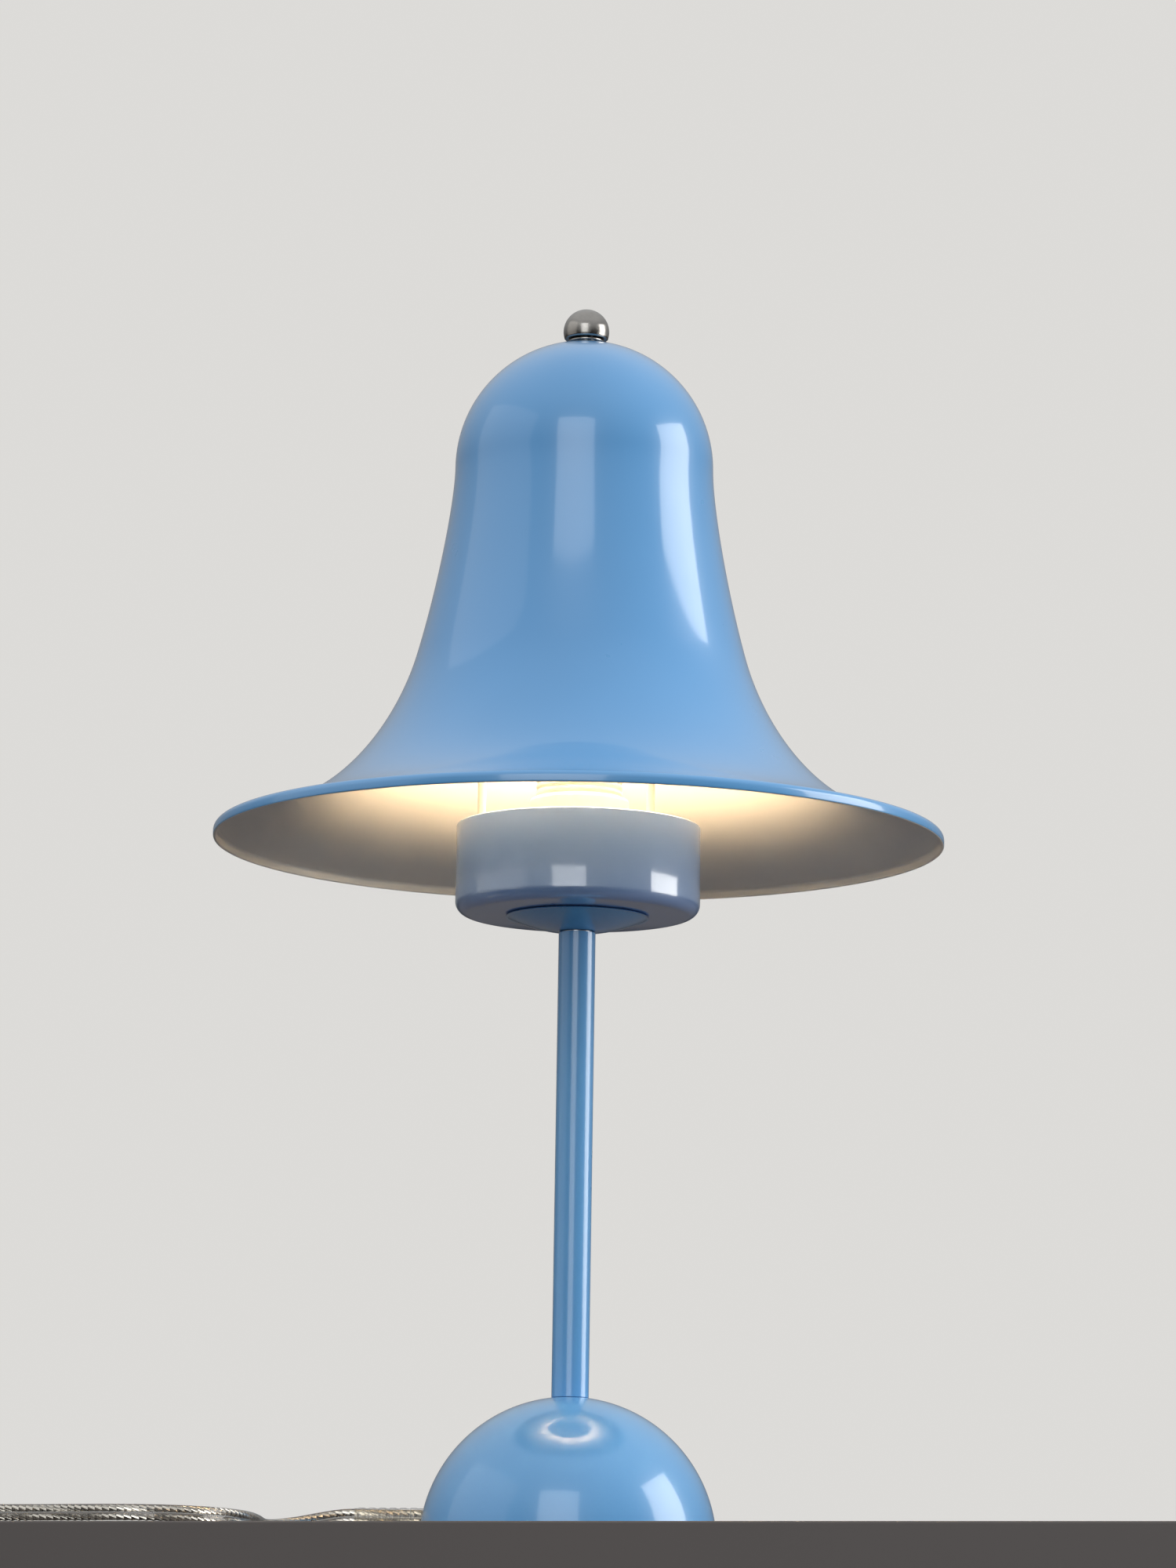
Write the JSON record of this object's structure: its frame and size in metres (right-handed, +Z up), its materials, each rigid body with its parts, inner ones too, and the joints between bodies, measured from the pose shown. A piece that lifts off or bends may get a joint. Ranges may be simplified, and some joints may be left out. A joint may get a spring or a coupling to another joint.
{
  "type": "table lamp",
  "caption": "Bell-shaped metal table lamp with a flared shade, ball finial, cup under the bulb, slim stem, half-ball foot and clear flex.",
  "frame": {"origin": "centre of the foot pad's underside, on the surface that the lamp stands on", "axes": "+Z up the stem towards the finial; the flex leaves the foot towards -X; -Y is the front"},
  "size_m": [0.4055, 0.23, 0.393],
  "materials": {
    "blue_lacquer": "glossy stove enamel, light blue, on spun steel",
    "white_lacquer": "satin white enamel",
    "brushed_steel": "brushed, fine vertical grain",
    "zinc_steel": "zinc plated",
    "cast_iron": "rough casting, painted black",
    "white_plastic": "moulded, semi-gloss",
    "opal_plastic": "opal, lit from inside",
    "brass": "bright",
    "black_plastic": "moulded, matt",
    "rubber": "foam rubber pad",
    "clear_plastic": "clear PVC over tinned copper strands"
  },
  "bodies": {
    "lamp": {"base_shell": "blue_lacquer", "base_weight": "cast_iron", "base_plate": "zinc_steel", "plate_screw_1": "zinc_steel", "plate_screw_2": "zinc_steel", "plate_screw_3": "zinc_steel", "foot_pad": "rubber", "lower_nipple": "zinc_steel", "stem_washer": "zinc_steel", "stem_nut": "zinc_steel", "cord_clamp": "zinc_steel", "clamp_screw_1": "zinc_steel", "clamp_screw_2": "zinc_steel", "strain_relief": "clear_plastic", "stem": "blue_lacquer", "upper_nipple": "zinc_steel", "inner_cable": "clear_plastic", "dish": "blue_lacquer", "dish_spacer": "zinc_steel", "cup": "blue_lacquer", "carrier_spacer": "zinc_steel", "cup_nut": "zinc_steel", "lower_spider": "zinc_steel", "upper_spider": "zinc_steel", "post_1": "white_lacquer", "post_2": "white_lacquer", "post_3": "white_lacquer", "post_nut_1": "zinc_steel", "post_nut_2": "zinc_steel", "post_nut_3": "zinc_steel", "stud": "zinc_steel", "stud_nut": "zinc_steel", "stud_sleeve": "zinc_steel", "seat_washer": "rubber", "holder_cap": "white_plastic", "holder_body": "white_plastic", "holder_ring": "white_plastic", "holder_shell": "brass", "holder_contact": "brass", "switch_tray": "white_plastic", "switch_lid": "white_plastic", "switch_contact": "brass", "cord_lead": "clear_plastic", "cord_middle": "clear_plastic", "cord_tail": "clear_plastic", "cord_coil": "clear_plastic", "coil_tie": "black_plastic", "plug_body": "white_plastic", "plug_pin_1": "zinc_steel", "plug_pin_2": "zinc_steel"},
    "shade": {"shade": "blue_lacquer"},
    "finial_washer": {"finial_washer": "brushed_steel"},
    "finial": {"finial": "brushed_steel"},
    "bulb_contact": {"bulb_contact": "brass"},
    "bulb": {"bulb_insulator": "black_plastic", "bulb_cap": "brushed_steel", "bulb_housing": "white_plastic", "bulb_globe": "opal_plastic"},
    "rocker": {"switch_rocker": "white_plastic"}
  },
  "joints": [
    {"name": "shade_lift", "type": "slide", "parent": "lamp", "child": "shade", "axis": [0, 0, 1], "range_m": [0, 0.175]},
    {"name": "finial_rise", "type": "slide", "parent": "shade", "child": "finial_washer", "axis": [0, 0, 1], "range_m": [0, 0.0061]},
    {"name": "finial_turn", "type": "hinge", "parent": "finial_washer", "child": "finial", "pos_m": [0, 0, 0.3857], "axis": [0, 0, 1], "range_deg": [0, 2160]},
    {"name": "bulb_rise", "type": "slide", "parent": "lamp", "child": "bulb_contact", "axis": [0, 0, 1], "range_m": [0, 0.0142]},
    {"name": "bulb_turn", "type": "hinge", "parent": "bulb_contact", "child": "bulb", "pos_m": [0, 0, 0.281], "axis": [0, 0, 1], "range_deg": [0, 1800]},
    {"name": "rocker_tilt", "type": "hinge", "parent": "lamp", "child": "rocker", "pos_m": [-0.28, 0.034, 0.0099], "axis": [1, 0, 0], "range_deg": [0, 18]}
  ],
  "couplings": [
    {"joint": "finial_rise", "follows": "finial_turn", "m_per_rad": 0.00015915},
    {"joint": "bulb_rise", "follows": "bulb_turn", "m_per_rad": 0.00044882}
  ]
}
